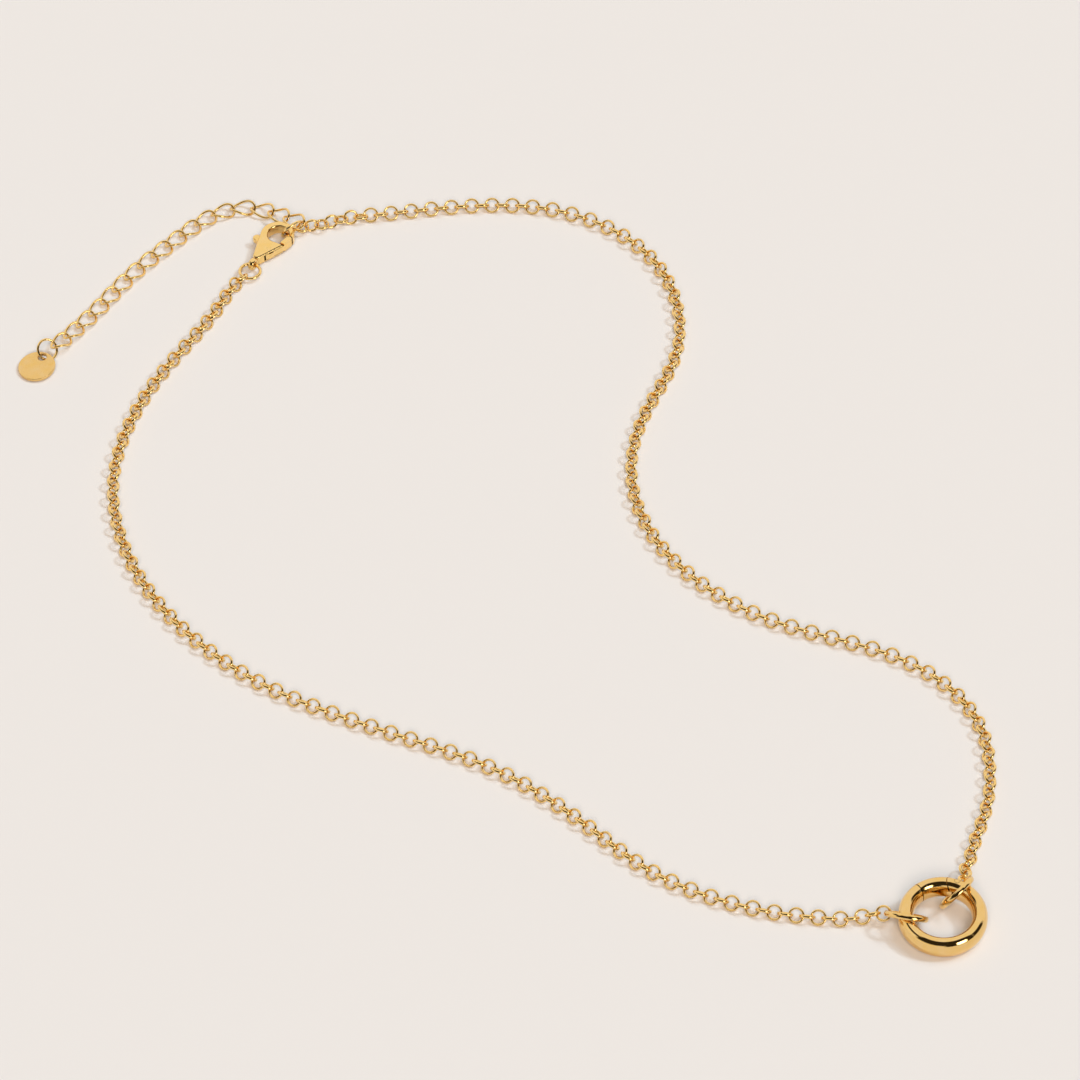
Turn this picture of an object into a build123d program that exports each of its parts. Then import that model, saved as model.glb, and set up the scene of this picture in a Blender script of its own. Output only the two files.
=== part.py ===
from build123d import *
from math import atan2, cos, degrees, pi, radians, sin, sqrt
import os

# Fine chain necklace lying in a loose loop, in millimetres.
# Origin: on the resting plane below the centre of the pendant ring.
# +X runs along the first links of the right side, +Y towards the clasp, +Z up.
# Every visible run of metal is a real link: nothing is fused to its neighbour.

# Rolo chain: round links of oval wire, wider along the link's axis than across it; alternate
# links are rolled either way.
WIRE_R = 0.165
WIRE_HALF_WIDTH = 0.22
LINK_GAP = 0.115
CHAIN_PITCH = 1.45
LINK_R = (CHAIN_PITCH + 2 * WIRE_R + LINK_GAP) / 2
LINK_ROLL = 45
HOOK_GAP = 0.06
RING_HOOK_GAP = 0.12
TURN_LINKS = 9
REST_GAP = 0.005
CHAIN_Z = LINK_R * sin(radians(LINK_ROLL)) + (WIRE_R + WIRE_HALF_WIDTH) / 2 + REST_GAP
LEFT_LINKS = 129
RIGHT_LINKS = 139
LEFT_SEGMENTS = 20
RIGHT_SEGMENTS = 21

# Pendant ring: a chunky ring of oval section, one stretch of which is a hinged gate.
RING_R = 4.87
RING_HALF_WIDTH = 1.05
RING_HALF_HEIGHT = 1.65
RING_TILT = 7
RING_Z = 2.25
HINGE_ANGLE = 67
GATE_END = 130
SEAM_GAP = 0.13

# Gate hinge: a round knuckle on the fixed ring and a tongue on the gate, both on a pin
# that runs parallel to the ring's own axis.
HINGE_OFFSET = 0.20
KNUCKLE_R = 1.33
SOCKET_R = KNUCKLE_R + SEAM_GAP
TONGUE_R = 0.85
TONGUE_HALF = 0.45
SLOT_HALF = 0.50
TONGUE_SWEEP = 40
HINGE_PIN_R = 0.35
PIN_CLEARANCE = 0.04

# Bails: round band rings that join the pendant to both strands.
BAIL_R = 2.70
BAIL_HALF_THICK = 0.275
BAIL_HALF_WIDTH = 0.40
LEFT_BAIL_CENTRE = (-4.80, 0.00, 2.34)
LEFT_BAIL_NORMAL = (0.157, 0.698, 0.698)
RIGHT_BAIL_CENTRE = (1.91, 3.81, 2.80)
RIGHT_BAIL_NORMAL = (-0.690, 0.513, 0.513)

# Lobster clasp, drawn in its own plane: U from tail to hook, W to the gate side.
CLASP_EYE = (-93.6, 126.6, 0.95)
CLASP_AZIMUTH = 60
CLASP_RISE = 3.5
CLASP_THICK = 1.7
CLASP_EDGE = 0.32
EYE_R = 0.63
EYE_HALF_THICK = 0.27
EYE_HALF_WIDTH = 0.42
TAIL_AT = (1.25, 0.0)
TAIL_R = 0.60
HEAD_AT = (6.20, 0.35)
HEAD_R = 2.42
HOLE_AT = (6.20, 0.55)
HOLE_R = 1.55
NOSE_U = 6.95
CHEEK_U = 4.50
SLOT_START_U = 1.70
SLOT_END_U = 5.15
LEVER_SLOT = 1.02
LEVER_THICK = 0.90
LEVER_START_U = 1.95
GATE_ARM_THICK = 1.50
LEVER_PIVOT = (3.0, 0.9)
LEVER_PIN_R = 0.28
HUB_R = 0.72
THUMB_AT = (4.50, -2.05)
THUMB_R = 0.58
THUMB_EDGE = 0.22
TIP_SWEEP_R = 3.80

# Rings at the clasp.
JUMP_R = 1.45
JUMP_WIRE_R = 0.22
END_RING_R = 1.62
END_RING_WIRE_R = 0.22
END_RING_NORMAL = (-0.597, 0.696, 0.398)
END_RING_SHIFT = 0.43
HOOK_ANGLE = 25
HOOK_ARM_R = 1.94

# Extender: curb chain of twisted oval links, then a ring and a tag.
EXT_LINKS = 17
EXT_SEGMENTS = 6
EXT_WIRE_R = 0.18
EXT_GAP = 0.14
EXT_HALF_WIDTH = 1.15
CURB_POINTS = 16
EXT_TWIST = 0.42
EXT_PITCH = 2.97
EXT_HALF_LENGTH = (EXT_PITCH + 2 * EXT_WIRE_R + EXT_GAP) / 2
EXT_Z = EXT_TWIST + EXT_WIRE_R + 0.02
EXT_HOOK_GAP = 0.14
EXT_FIRST_ROLL = 15
EXT_TURN_LINKS = 4
TAG_RING_R = 1.45
TAG_RING_WIRE_R = 0.18
TAG_R = 2.63
TAG_THICK = 0.48
TAG_HOLE_R = 0.62
TAG_HOLE_AT = 1.68
TAG_EDGE = 0.08

# Courses of the chains over the resting plane, between the links that hook on at either end.
LEFT_COURSE = [
    (-9.7, 1.2, 1.22), (-12.0, 0.9, 0.90), (-15.0, 1.0, CHAIN_Z), (-20.8, 1.8, CHAIN_Z),
    (-29.6, 4.5, CHAIN_Z), (-38.0, 9.3, CHAIN_Z), (-45.5, 16.5, CHAIN_Z), (-53.2, 23.8, CHAIN_Z),
    (-61.6, 29.5, CHAIN_Z), (-70.5, 33.6, CHAIN_Z), (-79.5, 37.7, CHAIN_Z), (-88.4, 42.5, CHAIN_Z),
    (-96.7, 49.1, CHAIN_Z), (-104.0, 57.8, CHAIN_Z), (-109.6, 69.2, CHAIN_Z), (-111.8, 82.5, CHAIN_Z),
    (-109.5, 95.6, CHAIN_Z), (-104.3, 107.0, CHAIN_Z), (-98.6, 117.0, CHAIN_Z),
]
RIGHT_COURSE = [
    (3.2, 8.3, 1.25), (3.7, 10.4, 0.90), (4.4, 13.2, CHAIN_Z), (6.5, 20.5, CHAIN_Z),
    (7.3, 28.8, CHAIN_Z), (6.5, 35.1, CHAIN_Z), (3.2, 42.0, CHAIN_Z), (-4.0, 48.5, CHAIN_Z),
    (-12.1, 52.1, CHAIN_Z), (-21.1, 55.7, CHAIN_Z), (-29.6, 61.7, CHAIN_Z), (-36.6, 70.7, CHAIN_Z),
    (-40.1, 83.2, CHAIN_Z), (-38.0, 96.5, CHAIN_Z), (-33.7, 108.0, CHAIN_Z), (-33.2, 116.2, CHAIN_Z),
    (-36.2, 126.6, CHAIN_Z), (-42.5, 133.9, CHAIN_Z), (-51.5, 138.2, CHAIN_Z), (-66.0, 138.5, CHAIN_Z),
    (-76.0, 137.0, CHAIN_Z), (-78.6, 136.6, 0.84), (-81.1, 135.9, 1.01),
]
EXT_COURSE = [
    (-93.6, 138.5, EXT_Z), (-98.0, 137.9, EXT_Z), (-101.6, 135.3, EXT_Z), (-105.1, 131.5, EXT_Z),
    (-110.7, 124.7, EXT_Z), (-115.4, 117.4, EXT_Z),
]

# Where each end link hooks on: its place round the ring in degrees, and the way it then runs.
LEFT_BAIL_CONTACT = (-0.93, 0.35, -0.14)
LEFT_BAIL_LEAVES = (-1.0, 0.1, -0.25)
RIGHT_BAIL_CONTACT = (0.42, 0.86, -0.30)
RIGHT_BAIL_LEAVES = (0.1, 0.9, -0.35)
JUMP_CONTACT = -26
JUMP_LEAVES = (-0.55, -0.83, 0.0)
END_RING_CHAIN = 24
END_RING_CHAIN_LEAVES = (0.988, 0.130, -0.080)
END_RING_EXT = -16
END_RING_EXT_LEAVES = (-0.761, 0.620, -0.191)
TAG_RING_CONTACT = (0.817, 0.568, -0.077)
TAG_RING_LEAVES = (0.55, 0.80, -0.1)


def frame_at(centre, normal, along):
    """A plane at a centre, with its Z along the normal and its X as near the given direction as it can be."""
    z = Vector(*normal).normalized()
    x = Vector(*along)
    x = (x - z * x.dot(z)).normalized()
    return Plane(origin=Vector(*centre), x_dir=x, z_dir=z)


def oval_ring(plane, radius, half_thick, half_width):
    """A closed band ring of oval section, lying in the given plane."""
    section = Plane.XZ * Pos(radius, 0) * Ellipse(half_thick, half_width)
    return plane.location * revolve(section, Axis.Z)


def ring_point(plane, radius, angle):
    return plane.origin + (plane.x_dir * cos(radians(angle)) + plane.y_dir * sin(radians(angle))) * radius


def ring_tangent(plane, angle):
    return plane.y_dir * cos(radians(angle)) - plane.x_dir * sin(radians(angle))


def rolled_normal(along, roll):
    """A direction square to the run, turned from straight up by the roll."""
    side = Vector(0, 0, 1).cross(along).normalized()
    up = along.cross(side).normalized()
    return side * sin(radians(roll)) + up * cos(radians(roll))


def roll_of(plane):
    """The roll of a link's plane about its own long way, between -90 and 90 degrees."""
    side = Vector(0, 0, 1).cross(plane.x_dir).normalized()
    up = plane.x_dir.cross(side).normalized()
    return half_turn(degrees(atan2(plane.z_dir.dot(side), plane.z_dir.dot(up))))


def half_turn(angle):
    return (angle + 90) % 180 - 90


def hooked_link(plane, radius, angle, reach, leaves, roll=None):
    """The plane of a link hooked on a ring: square to the ring's wire, with its long way along its run."""
    tangent = ring_tangent(plane, angle)
    run = Vector(*leaves).normalized()
    normal = tangent - run * tangent.dot(run) if roll is None else rolled_normal(run, roll)
    return Plane(origin=ring_point(plane, radius, angle) + run * reach, x_dir=run, z_dir=normal)


def course_frames(first, points, last, count, pitch):
    """Evenly spaced link centres from one hooked link to another, each with its travel direction."""
    second = first.origin + first.x_dir * pitch
    last_but_one = last.origin + last.x_dir * pitch
    course = Edge.make_spline([first.origin, second, *[Vector(*p) for p in points], last_but_one, last.origin])
    frames = []
    for index in range(count):
        at = course.length * index / (count - 1)
        centre = course.position_at(at, position_mode=PositionMode.LENGTH)
        along = course.tangent_at(at, position_mode=PositionMode.LENGTH)
        frames.append((centre, along))
    return frames


def rolo_planes(first, points, last, count, sign):
    """The plane of every rolo link: it holds the travel direction and is rolled either way in turn.
    Near each end the roll turns gradually to that of the hooked link."""
    frames = course_frames(first, points, last, count, CHAIN_PITCH)
    start_turn = half_turn(roll_of(first) - sign * LINK_ROLL)
    last_sign = sign if count % 2 else -sign
    end_turn = half_turn(roll_of(Plane(last.origin, last.x_dir * -1, last.z_dir)) - last_sign * LINK_ROLL)
    planes = [first]
    for index, (centre, along) in enumerate(frames[1:-1], 1):
        roll = sign * LINK_ROLL if index % 2 == 0 else -sign * LINK_ROLL
        roll += start_turn * max(0, 1 - index / TURN_LINKS)
        roll += end_turn * max(0, 1 - (count - 1 - index) / TURN_LINKS)
        normal = rolled_normal(along, roll)
        reach_down = LINK_R * sqrt(1 - normal.Z ** 2) + WIRE_R + REST_GAP
        centre = Vector(centre.X, centre.Y, max(centre.Z, reach_down))
        planes.append(Plane(origin=centre, x_dir=along, z_dir=normal))
    return planes + [last]


def rolo_link(plane):
    return oval_ring(plane, LINK_R, WIRE_R, WIRE_HALF_WIDTH)


def split_evenly(items, groups):
    """Cuts a run of links into consecutive groups whose counts differ by one at most."""
    edges = [round(len(items) * k / groups) for k in range(groups + 1)]
    return [items[a:b] for a, b in zip(edges, edges[1:])]


def curb_point(angle):
    return Vector(EXT_HALF_LENGTH * cos(angle), EXT_HALF_WIDTH * sin(angle), EXT_TWIST * sin(2 * angle))


def curb_link(plane):
    """A twisted oval link, made in two halves: both ends stand across the next link's ends."""
    points = [curb_point(2 * pi * k / CURB_POINTS) for k in range(CURB_POINTS)]
    centre_line = Edge.make_spline(points, periodic=True)
    halves = []
    for half in (centre_line.trim(0, 0.5), centre_line.trim(0.5, 1)):
        profile = Plane(origin=half @ 0, z_dir=half % 0) * Circle(EXT_WIRE_R)
        halves.append(sweep(profile, path=half))
    return plane.location * (halves[0] + halves[1])


def ext_planes():
    """The extender's links, from the one on the end ring to the one on the tag ring.
    The first links roll gradually from the way the end ring holds them to lying flat."""
    ring, tag_ring = end_ring_plane(), tag_ring_plane()
    ring_reach = EXT_HALF_LENGTH - EXT_WIRE_R - END_RING_WIRE_R - EXT_HOOK_GAP
    tag_reach = EXT_HALF_LENGTH - EXT_WIRE_R - TAG_RING_WIRE_R - EXT_HOOK_GAP
    first = hooked_link(ring, END_RING_R, END_RING_EXT, ring_reach, END_RING_EXT_LEAVES)
    last = hooked_link(tag_ring, TAG_RING_R, 0, tag_reach, TAG_RING_LEAVES)
    planes = []
    for index, (centre, along) in enumerate(course_frames(first, EXT_COURSE, last, EXT_LINKS, EXT_PITCH)):
        roll = EXT_FIRST_ROLL * max(0, 1 - index / EXT_TURN_LINKS)
        normal = rolled_normal(along, roll)
        reach_down = (EXT_TWIST * abs(normal.Z) + EXT_HALF_WIDTH * abs(sin(radians(roll)))
                      + EXT_WIRE_R + REST_GAP)
        centre = Vector(centre.X, centre.Y, max(centre.Z, reach_down))
        planes.append(Plane(origin=centre, x_dir=along, z_dir=normal))
    return planes


def wedge(start, end):
    """A tall wedge about the ring's axis between two angles in degrees."""
    reach = 20
    corners = [(reach * cos(radians(a)), reach * sin(radians(a))) for a in (start, (start + end) / 2, end)]
    return extrude(Polygon((0, 0), *corners, align=None), reach / 2, both=True)


def hinge_point():
    radius = RING_R + HINGE_OFFSET
    return radius * cos(radians(HINGE_ANGLE)), radius * sin(radians(HINGE_ANGLE))


def upright_disc(at, radius, half_height):
    return Pos(at[0], at[1], 0) * Cylinder(radius, 2 * half_height)


def ring_placement():
    return Pos(0, 0, RING_Z) * Rot(RING_TILT, 0, 0)


def pendant_parts():
    """The fixed ring, its gate and the hinge pin."""
    tube = oval_ring(Plane.XY, RING_R, RING_HALF_WIDTH, RING_HALF_HEIGHT)
    tall = 2 * RING_HALF_HEIGHT
    at = hinge_point()
    gap_angle = degrees(SEAM_GAP / RING_R)
    knuckle = upright_disc(at, KNUCKLE_R, tall)
    socket = upright_disc(at, SOCKET_R, tall)
    pin_hole = upright_disc(at, HINGE_PIN_R + PIN_CLEARANCE, tall)
    slot = upright_disc(at, TONGUE_R + SEAM_GAP, SLOT_HALF) + (
        upright_disc(at, SOCKET_R, SLOT_HALF) & wedge(HINGE_ANGLE, HINGE_ANGLE + TONGUE_SWEEP))
    fixed = tube - (wedge(HINGE_ANGLE, GATE_END) - knuckle) - slot - pin_hole
    span = wedge(HINGE_ANGLE, GATE_END - gap_angle) - socket
    eye = upright_disc(at, TONGUE_R, TONGUE_HALF)
    bridge = upright_disc(at, SOCKET_R + SEAM_GAP, TONGUE_HALF) & wedge(HINGE_ANGLE + 4, GATE_END)
    gate = (tube & (span + eye + bridge)) - pin_hole
    pin = tube & upright_disc(at, HINGE_PIN_R, tall)
    where = ring_placement()
    return where * fixed, where * gate, where * pin


def bail_planes():
    left = frame_at(LEFT_BAIL_CENTRE, LEFT_BAIL_NORMAL, LEFT_BAIL_CONTACT)
    right = frame_at(RIGHT_BAIL_CENTRE, RIGHT_BAIL_NORMAL, RIGHT_BAIL_CONTACT)
    return left, right


def bail(plane):
    return oval_ring(plane, BAIL_R, BAIL_HALF_THICK, BAIL_HALF_WIDTH)


def clasp_plane():
    azimuth, rise = radians(CLASP_AZIMUTH), radians(CLASP_RISE)
    u = Vector(cos(azimuth) * cos(rise), sin(azimuth) * cos(rise), sin(rise))
    w = Vector(sin(azimuth), -cos(azimuth), 0)
    return Plane(origin=Vector(*CLASP_EYE), x_dir=u, z_dir=w.cross(u))


def clasp_point(u, w, height=0.0):
    """A place given by its distance from the tail eye, its distance to the gate side and its height."""
    plane = clasp_plane()
    return plane.origin + plane.x_dir * u - plane.y_dir * w + plane.z_dir * height


def flat_piece(face, thickness):
    return extrude(face, thickness / 2, both=True)


def flat_box(u0, u1, w0, w1, thickness):
    return Pos((u0 + u1) / 2, -(w0 + w1) / 2, 0) * Box(u1 - u0, w1 - w0, thickness)


def teardrop():
    outline = Pos(TAIL_AT[0], -TAIL_AT[1]) * Circle(TAIL_R) + Pos(HEAD_AT[0], -HEAD_AT[1]) * Circle(HEAD_R)
    return make_hull(outline.edges())


def lever_round(radius):
    return Pos(LEVER_PIVOT[0], -LEVER_PIVOT[1], 0) * Cylinder(radius, 2 * CLASP_THICK)


def clasp_body():
    """Teardrop body: tail eye, hollow waist for the lever and a hook that reaches round to the gate."""
    face = teardrop() - Pos(HOLE_AT[0], -HOLE_AT[1]) * Circle(HOLE_R)
    blank = flat_piece(face, CLASP_THICK)
    rims = blank.edges().filter_by(GeomType.CIRCLE) + blank.edges().filter_by(Plane.XY)
    blank = fillet([e for e in set(rims) if abs(abs(e.center().Z) - CLASP_THICK / 2) < 0.01], CLASP_EDGE)
    gate_gap = flat_box(CHEEK_U, NOSE_U, HOLE_AT[1] + 0.45, 4, 2 * CLASP_THICK)
    gate_gap &= lever_round(TIP_SWEEP_R + SEAM_GAP)
    lever_slot = flat_box(SLOT_START_U, SLOT_END_U, -4, 4, LEVER_SLOT)
    eye = oval_ring(Plane.XZ, EYE_R, EYE_HALF_THICK, EYE_HALF_WIDTH)
    return blank - gate_gap - lever_slot - lever_round(LEVER_PIN_R + 0.01) + eye


def clasp_lever():
    """Lever: thumb nub on one side, hub on the pin, gate arm that closes on the hook's nose."""
    pivot = (LEVER_PIVOT[0], -LEVER_PIVOT[1])
    thumb = (THUMB_AT[0], -THUMB_AT[1])
    hub = Pos(*pivot) * Circle(HUB_R)
    thumb_end = Pos(*thumb) * Circle(THUMB_R * 0.7)
    thumb_arm = make_hull((Pos(*pivot) * Circle(0.5) + thumb_end).edges())
    inner, tip = HOLE_AT[1] + HOLE_R * 0.72, NOSE_U
    arm_outline = Polygon((LEVER_START_U, -0.45), (LEVER_START_U, -1.7), (CHEEK_U, -2.2), (tip, -2.75),
                          (tip, -inner - 0.35), (CHEEK_U, -inner + 0.1), align=None)
    arm = arm_outline & make_hull(teardrop().edges()) & Pos(*pivot) * Circle(TIP_SWEEP_R)
    thin = flat_piece(hub + thumb_arm + arm, LEVER_THICK)
    broad = flat_piece(arm, GATE_ARM_THICK) & flat_box(CHEEK_U + 0.4, NOSE_U, 0, 4, GATE_ARM_THICK)
    nub = Pos(*thumb, 0) * Cylinder(THUMB_R, LEVER_THICK)
    nub = fillet(nub.edges(), THUMB_EDGE)
    return thin + broad + nub - lever_round(LEVER_PIN_R + PIN_CLEARANCE)


def clasp_pin():
    return Pos(LEVER_PIVOT[0], -LEVER_PIVOT[1], 0) * Cylinder(LEVER_PIN_R, CLASP_THICK)


def clasp_spring():
    """Bent leaf spring between the tail wall of the slot and the thumb arm."""
    strip = 0.06
    outer = ThreePointArc((1.80, 0.35), (2.60, 0.60), (3.15, 1.15))
    leaf = trace(outer, 2 * strip)
    return flat_piece(leaf, LEVER_THICK - 0.1)


def jump_ring_plane():
    """The jump ring leaves the tail eye towards the left strand and rests on the strand's last link."""
    away = Vector(-0.25, -0.96, -0.06).normalized()
    across = Vector(0.966, -0.259, 0)
    normal = away.cross(across).normalized()
    centre = clasp_point(0, 0) + away * JUMP_R
    return frame_at(centre, normal, away)


def end_ring_plane():
    """The end ring stands round the hook's arm and leans away from the gate."""
    arm_u = HEAD_AT[0] + HOOK_ARM_R * cos(radians(HOOK_ANGLE))
    arm_w = HEAD_AT[1] + HOOK_ARM_R * sin(radians(HOOK_ANGLE))
    arm = clasp_point(arm_u, arm_w)
    plane = frame_at(arm, END_RING_NORMAL, (0.759, 0.651, 0))
    lean = sqrt(1 - plane.z_dir.Z ** 2)
    height = END_RING_R * lean + END_RING_WIRE_R + 0.01
    rise = (height - arm.Z) / lean
    up = plane.y_dir if plane.y_dir.Z > 0 else plane.y_dir * -1
    return frame_at(arm + plane.x_dir * END_RING_SHIFT + up * rise, END_RING_NORMAL, (0.759, 0.651, 0))


def tag_plane():
    return frame_at((-123.4, 105.9, 0.62), (-0.12, -0.07, 0.99), (0.454, 0.891, 0))


def tag_ring_plane():
    plane = tag_plane()
    hole = plane.origin + plane.x_dir * TAG_HOLE_AT
    reach = Vector(0.441, 0.817, 0.369).normalized()
    centre = hole + reach * TAG_RING_R
    return frame_at(centre, (0.447, -0.557, 0.70), TAG_RING_CONTACT)


def tag_disc():
    blank = Cylinder(TAG_R, TAG_THICK) - Pos(TAG_HOLE_AT, 0, 0) * Cylinder(TAG_HOLE_R, 2 * TAG_THICK)
    return tag_plane().location * fillet(blank.edges().filter_by(GeomType.CIRCLE), TAG_EDGE)


def rolo_hook(plane, radius, angle, wire_and_gap, leaves, roll=None):
    return hooked_link(plane, radius, angle, LINK_R - WIRE_R - wire_and_gap, leaves, roll)


def chain_planes():
    """Both strands, each from its bail to the clasp side."""
    left_bail, right_bail = bail_planes()
    bail_space = BAIL_HALF_THICK + HOOK_GAP
    left_first = rolo_hook(left_bail, BAIL_R, 0, bail_space, LEFT_BAIL_LEAVES)
    left_last = rolo_hook(jump_ring_plane(), JUMP_R, JUMP_CONTACT, JUMP_WIRE_R + RING_HOOK_GAP,
                          JUMP_LEAVES, -LINK_ROLL)
    right_first = rolo_hook(right_bail, BAIL_R, 0, bail_space, RIGHT_BAIL_LEAVES)
    right_last = rolo_hook(end_ring_plane(), END_RING_R, END_RING_CHAIN,
                           END_RING_WIRE_R + RING_HOOK_GAP, END_RING_CHAIN_LEAVES)
    left = rolo_planes(left_first, LEFT_COURSE, left_last, LEFT_LINKS, 1)
    right = rolo_planes(right_first, RIGHT_COURSE, right_last, RIGHT_LINKS, -1)
    return left, right


def chain_nodes(side, planes, segments):
    nodes = {}
    for number, group in enumerate(split_evenly(planes, segments), 1):
        nodes[f"{side}_chain_{number:02d}"] = [rolo_link(plane) for plane in group]
    return nodes


def extender_nodes():
    planes = ext_planes()
    nodes = {}
    for number, group in enumerate(split_evenly(planes, EXT_SEGMENTS), 1):
        nodes[f"extender_chain_{number}"] = [curb_link(plane) for plane in group]
    return nodes


def build():
    ring, gate, pin = pendant_parts()
    left_bail, right_bail = bail_planes()
    left, right = chain_planes()
    place = clasp_plane().location
    nodes = {
        "pendant_ring": ring,
        "pendant_gate": gate,
        "gate_hinge_pin": pin,
        "left_bail": bail(left_bail),
        "right_bail": bail(right_bail),
        "clasp_body": place * clasp_body(),
        "clasp_lever": place * clasp_lever(),
        "clasp_lever_pin": place * clasp_pin(),
        "clasp_spring": place * clasp_spring(),
        "clasp_jump_ring": Solid.make_torus(JUMP_R, JUMP_WIRE_R, jump_ring_plane()),
        "end_ring": Solid.make_torus(END_RING_R, END_RING_WIRE_R, end_ring_plane()),
        "tag_ring": Solid.make_torus(TAG_RING_R, TAG_RING_WIRE_R, tag_ring_plane()),
        "tag_disc": tag_disc(),
    }
    nodes.update(chain_nodes("left", left, LEFT_SEGMENTS))
    nodes.update(chain_nodes("right", right, RIGHT_SEGMENTS))
    nodes.update(extender_nodes())
    return nodes


def write_parts(nodes):
    os.makedirs("parts", exist_ok=True)
    for name, shape in nodes.items():
        items = shape if isinstance(shape, list) else [shape]
        solids = [solid for item in items for solid in item.solids()]
        export_step(Compound(label=name, children=solids), f"parts/{name}.step")


if __name__ == "__main__":
    write_parts(build())
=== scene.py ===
from math import cos, radians, sin

import bpy
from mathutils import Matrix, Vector

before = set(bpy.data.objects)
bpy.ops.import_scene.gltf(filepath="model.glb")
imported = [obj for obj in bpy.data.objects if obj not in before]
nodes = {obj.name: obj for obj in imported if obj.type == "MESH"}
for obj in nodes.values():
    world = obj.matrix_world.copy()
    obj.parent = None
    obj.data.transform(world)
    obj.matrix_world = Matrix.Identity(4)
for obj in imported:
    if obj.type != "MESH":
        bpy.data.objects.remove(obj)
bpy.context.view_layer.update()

MM = 0.001

# Camera: a long lens looking down on the loop.
LENS_MM = 274
SENSOR_MM = 36
TARGET = Vector((-52.8, 72.1, 0)) * MM
CAMERA_AZIMUTH = -90
CAMERA_ELEVATION = 45
CAMERA_DISTANCE = 1130 * MM

# Colours of the pieces and of the floor, as linear light.
GOLD = (0.885, 0.600, 0.230)
# Painted light: a lighter copy of the same gold, making up for the dark room that the chain, clasp and
# rings reflect.
PAINTED_LIGHT_GOLD = (0.97, 0.68, 0.27)
# Painted shade: the deep gold for crevices and the near black-brown for seams.
PAINTED_SHADE_GOLD = (0.58, 0.27, 0.05)
PAINTED_SEAM_SHADE = (0.05, 0.02, 0.006)
DARK_STEEL = (0.48, 0.47, 0.45)
LIGHT_STEEL = (0.60, 0.58, 0.55)
FLOOR_COLOUR = (0.777, 0.755, 0.744)
FLOOR_SIZE = 3.0

# Light: the room that polished metal reflects, the fill and the lamps for matt surfaces, the backdrop.
STUDIO_WHITE = (0.93, 0.885, 0.84)
STUDIO_DARK = (0.030, 0.024, 0.015)
WARM_LIGHT = (1.0, 0.844, 0.700)
COOL_LIGHT = (0.70, 0.87, 1.0)
BACKDROP_COLOUR = (0.855, 0.80, 0.755)
FILL_STRENGTH = 0.225
WINDOW_STRENGTH = 6.0

# Lamps: name, colour, azimuth from +X, elevation, width in degrees, strength.
LAMPS = [
    ("key", COOL_LIGHT, 2, 52, 8, 0.89),
    ("soft_key", COOL_LIGHT, 25, 66, 28, 0.88),
    ("front", WARM_LIGHT, CAMERA_AZIMUTH, CAMERA_ELEVATION, 30, 2.38),
]

# Where the polished metal sees dark and where it sees the window: azimuths from straight in front
# towards +X, then elevations, in degrees, with soft edges.
DARK_PANELS = [
    ((-112, -55), (27, 50)),
    ((-60, 16), (10, 70)),
    ((4, 72), (-12, 70)),
    ((68, 104), (2, 42)),
]
DARK_PANEL_EDGE = 4
WINDOW = ((30, 53), (4, 27))
WINDOW_EDGE = 2

# Painted shade in crevices: how far off other metal counts, and the shares of open space between which
# the gold is painted deep and then nearly brown as shade.
PAINTED_SHADE_REACH = 0.5 * MM
PAINTED_SHADE_OPENNESS = (0.15, 0.80)
PAINTED_SEAM_SHADE_OPENNESS = (0.03, 0.16)
SCRATCH_DEPTH = 0.02 * MM


def principled(name):
    """A new material with its node tree and its main shader."""
    material = bpy.data.materials.new(name)
    material.use_nodes = True
    tree = material.node_tree
    return material, tree, tree.nodes["Principled BSDF"]


def link(tree, out_socket, in_socket):
    tree.links.new(out_socket, in_socket)


def noise(tree, coordinate, scale, detail=3.0):
    node = tree.nodes.new("ShaderNodeTexNoise")
    node.inputs["Scale"].default_value = scale
    node.inputs["Detail"].default_value = detail
    link(tree, coordinate, node.inputs["Vector"])
    return node.outputs["Fac"]


def stretched(tree, coordinate, factors):
    """Coordinates stretched along the axes, so that noise drawn in them turns into fine lines."""
    node = tree.nodes.new("ShaderNodeMapping")
    node.inputs["Scale"].default_value = factors
    link(tree, coordinate, node.inputs["Vector"])
    return node.outputs["Vector"]


def ramp(tree, value, low, high, from_min=0.0, from_max=1.0):
    """A value carried from one range to another, held at the ends."""
    node = tree.nodes.new("ShaderNodeMapRange")
    node.inputs["From Min"].default_value = from_min
    node.inputs["From Max"].default_value = from_max
    node.inputs["To Min"].default_value = low
    node.inputs["To Max"].default_value = high
    link(tree, value, node.inputs["Value"])
    return node.outputs["Result"]


def mixed(tree, factor, first, second):
    """Two colours, each a plain colour or a socket, mixed by a factor."""
    node = tree.nodes.new("ShaderNodeMix")
    node.data_type = "RGBA"
    _, socket_a, socket_b = [socket for socket in node.inputs if socket.enabled]
    for socket, colour in ((socket_a, first), (socket_b, second)):
        if isinstance(colour, tuple):
            socket.default_value = (*colour, 1)
        else:
            link(tree, colour, socket)
    link(tree, factor, node.inputs["Factor"])
    return [socket for socket in node.outputs if socket.enabled][0]


def bump(tree, height, strength, distance):
    node = tree.nodes.new("ShaderNodeBump")
    node.inputs["Strength"].default_value = strength
    node.inputs["Distance"].default_value = distance
    link(tree, height, node.inputs["Height"])
    return node.outputs["Normal"]


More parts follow.
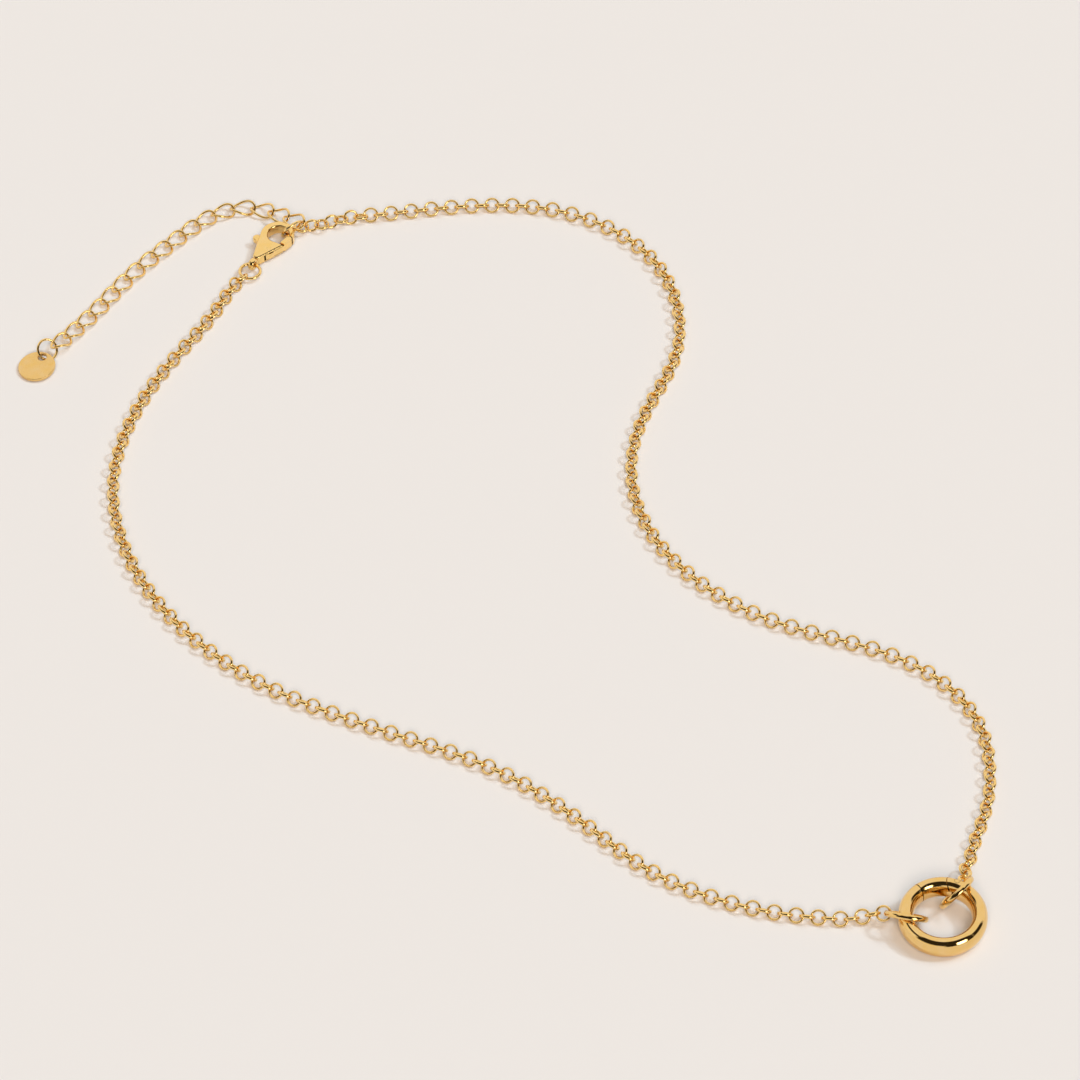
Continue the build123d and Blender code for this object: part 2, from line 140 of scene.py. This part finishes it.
def gold_material(name, tone, roughness, grain, shade, brushed=False):
    """Gold plate: faint clouds in the colour, painted shade in crevices and seams, hairline scratches
    and a soft polish.
    """
    material, tree, shader = principled(name)
    place = tree.nodes.new("ShaderNodeTexCoord").outputs["Object"]
    # Painted shade: the colour turns to deep gold where ambient occlusion finds other metal close by.
    shade_occlusion = tree.nodes.new("ShaderNodeAmbientOcclusion")
    shade_occlusion.samples = 4
    shade_occlusion.inputs["Distance"].default_value = PAINTED_SHADE_REACH
    painted_shade = ramp(tree, shade_occlusion.outputs["AO"], shade, 0.0, *PAINTED_SHADE_OPENNESS)
    colour = mixed(tree, painted_shade, tone, PAINTED_SHADE_GOLD)
    # Painted seam shade: nearly brown where almost no open space is left.
    painted_seam_shade = ramp(tree, shade_occlusion.outputs["AO"], 1.0, 0.0, *PAINTED_SEAM_SHADE_OPENNESS)
    colour = mixed(tree, painted_seam_shade, colour, PAINTED_SEAM_SHADE)
    cloud = noise(tree, place, 900)
    tint = tree.nodes.new("ShaderNodeHueSaturation")
    link(tree, ramp(tree, cloud, 0.94, 1.06, 0.3, 0.7), tint.inputs["Saturation"])
    link(tree, colour, tint.inputs["Color"])
    link(tree, tint.outputs["Color"], shader.inputs["Base Color"])
    lines = stretched(tree, place, (1, 14, 14) if brushed else (1, 5, 3))
    scratches = noise(tree, lines, 2600 if brushed else 1500, 5)
    polish = ramp(tree, scratches, roughness * 0.8, roughness * 1.35, 0.35, 0.7)
    link(tree, polish, shader.inputs["Roughness"])
    link(tree, bump(tree, scratches, grain, SCRATCH_DEPTH), shader.inputs["Normal"])
    shader.inputs["Metallic"].default_value = 1.0
    return material


def steel_material():
    """Spring steel with a fine drawn grain."""
    material, tree, shader = principled("spring_steel")
    place = tree.nodes.new("ShaderNodeTexCoord").outputs["Object"]
    grain = noise(tree, stretched(tree, place, (1, 9, 9)), 1800)
    link(tree, mixed(tree, grain, DARK_STEEL, LIGHT_STEEL), shader.inputs["Base Color"])
    link(tree, ramp(tree, grain, 0.25, 0.42), shader.inputs["Roughness"])
    shader.inputs["Metallic"].default_value = 1.0
    return material


def floor_material():
    """A matt pale surface with a hardly visible grain."""
    material, tree, shader = principled("pale_surface")
    place = tree.nodes.new("ShaderNodeTexCoord").outputs["Object"]
    grain = noise(tree, place, 300, 6)
    light = tuple(c * 1.006 for c in FLOOR_COLOUR)
    link(tree, mixed(tree, grain, FLOOR_COLOUR, light), shader.inputs["Base Color"])
    shader.inputs["Roughness"].default_value = 0.9
    shader.inputs["Specular IOR Level"].default_value = 0.0
    return material


def give(material, *names):
    """The material for the named CAD nodes, shaded smooth."""
    for name in names:
        mesh = nodes[name].data
        mesh.materials.clear()
        mesh.materials.append(material)
        mesh.polygons.foreach_set("use_smooth", [True] * len(mesh.polygons))


def finish_pieces():
    """Each CAD node's finish: tone, roughness, depth of grain and depth of the painted shade in
    crevices.
    """
    mirror = gold_material("mirror_gold", GOLD, 0.07, 0.10, 0.70)
    # The clasp, rings and chain take the lighter gold, which is painted light.
    polished = gold_material("polished_gold", PAINTED_LIGHT_GOLD, 0.14, 0.25, 0.55)
    wire = gold_material("wire_gold", PAINTED_LIGHT_GOLD, 0.12, 0.15, 0.40)
    tag = gold_material("brushed_gold", GOLD, 0.26, 0.9, 0.70, brushed=True)
    give(mirror, "pendant_ring", "pendant_gate", "gate_hinge_pin", "left_bail", "right_bail")
    give(polished, "clasp_body", "clasp_lever", "clasp_lever_pin")
    give(wire, "clasp_jump_ring", "end_ring", "tag_ring")
    give(tag, "tag_disc")
    give(steel_material(), "clasp_spring")
    give(wire, *[name for name in nodes if "_chain_" in name])


def add_floor():
    bpy.ops.mesh.primitive_plane_add(size=FLOOR_SIZE, location=(TARGET.x, TARGET.y, 0))
    floor = bpy.context.object
    floor.name = "floor"
    floor.data.materials.append(floor_material())


def direction(azimuth, elevation):
    """The way towards an azimuth, counted from +X, and an elevation, in degrees."""
    a, e = radians(azimuth), radians(elevation)
    return Vector((cos(a) * cos(e), sin(a) * cos(e), sin(e)))


def calculated(tree, operation, *values):
    """One piece of arithmetic on the node tree, from sockets or plain numbers."""
    node = tree.nodes.new("ShaderNodeMath")
    node.operation = operation
    for socket, value in zip(node.inputs, values):
        if isinstance(value, (int, float)):
            socket.default_value = value
        else:
            link(tree, value, socket)
    return node.outputs["Value"]


def between(tree, angle, low, high, soft):
    """1 where the angle lies between two limits in degrees, with soft ends."""
    rise = ramp(tree, angle, 0, 1, radians(low - soft), radians(low + soft))
    fall = ramp(tree, angle, 1, 0, radians(high - soft), radians(high + soft))
    return calculated(tree, "MULTIPLY", rise, fall)


def panel(tree, azimuth, elevation, azimuths, elevations, soft):
    """A soft-edged panel hung in the studio between two azimuths and two elevations."""
    across = between(tree, azimuth, *azimuths, soft)
    upright = between(tree, elevation, *elevations, soft)
    return calculated(tree, "MULTIPLY", across, upright)


def chosen(tree, condition, otherwise, shader):
    """One shader where the condition holds, and another elsewhere."""
    node = tree.nodes.new("ShaderNodeMixShader")
    link(tree, condition, node.inputs["Fac"])
    link(tree, otherwise, node.inputs[1])
    link(tree, shader, node.inputs[2])
    return node.outputs["Shader"]


def studio():
    """Even fill for matt surfaces, a room with a window for polished ones, and a pale backdrop."""
    world = bpy.data.worlds.new("studio")
    bpy.context.scene.world = world
    world.use_nodes = True
    tree = world.node_tree
    fill = tree.nodes["Background"]
    fill.inputs["Color"].default_value = (*WARM_LIGHT, 1)
    fill.inputs["Strength"].default_value = FILL_STRENGTH
    axes = tree.nodes.new("ShaderNodeSeparateXYZ")
    link(tree, tree.nodes.new("ShaderNodeTexCoord").outputs["Generated"], axes.inputs["Vector"])
    front = calculated(tree, "MULTIPLY", axes.outputs["Y"], -1)
    azimuth = calculated(tree, "ARCTAN2", axes.outputs["X"], front)
    elevation = calculated(tree, "ARCSINE", axes.outputs["Z"])
    dark = 0
    for azimuths, elevations in DARK_PANELS:
        part = panel(tree, azimuth, elevation, azimuths, elevations, DARK_PANEL_EDGE)
        dark = calculated(tree, "MAXIMUM", dark, part)
    window = panel(tree, azimuth, elevation, *WINDOW, WINDOW_EDGE)
    dark = calculated(tree, "SUBTRACT", dark, window)
    room = tree.nodes.new("ShaderNodeBackground")
    link(tree, mixed(tree, dark, STUDIO_WHITE, STUDIO_DARK), room.inputs["Color"])
    link(tree, ramp(tree, window, 1.0, WINDOW_STRENGTH), room.inputs["Strength"])
    backdrop = tree.nodes.new("ShaderNodeBackground")
    backdrop.inputs["Color"].default_value = (*BACKDROP_COLOUR, 1)
    rays = tree.nodes.new("ShaderNodeLightPath").outputs
    seen = fill.outputs["Background"]
    seen = chosen(tree, rays["Is Camera Ray"], seen, backdrop.outputs["Background"])
    seen = chosen(tree, rays["Is Glossy Ray"], seen, room.outputs["Background"])
    link(tree, seen, tree.nodes["World Output"].inputs["Surface"])


def sun(name, colour, azimuth, elevation, angle, strength):
    """A soft lamp far away, which polished metal doesn't reflect."""
    data = bpy.data.lights.new(name, "SUN")
    data.energy = strength
    data.angle = radians(angle)
    data.color = colour
    lamp = bpy.data.objects.new(name, data)
    lamp.rotation_euler = direction(azimuth, elevation).to_track_quat("Z", "Y").to_euler()
    lamp.visible_glossy = False
    bpy.context.scene.collection.objects.link(lamp)


def add_camera():
    """The camera, in front of the loop and above it, aimed at its middle."""
    data = bpy.data.cameras.new("camera")
    data.lens = LENS_MM
    data.sensor_width = SENSOR_MM
    data.clip_start = 0.05
    data.clip_end = 10
    camera = bpy.data.objects.new("camera", data)
    away = direction(CAMERA_AZIMUTH, CAMERA_ELEVATION)
    camera.location = TARGET + away * CAMERA_DISTANCE
    camera.rotation_euler = away.to_track_quat("Z", "Y").to_euler()
    bpy.context.scene.collection.objects.link(camera)
    bpy.context.scene.camera = camera


finish_pieces()
add_floor()
studio()
for lamp in LAMPS:
    sun(*lamp)
add_camera()
bpy.context.scene.view_settings.view_transform = "Standard"
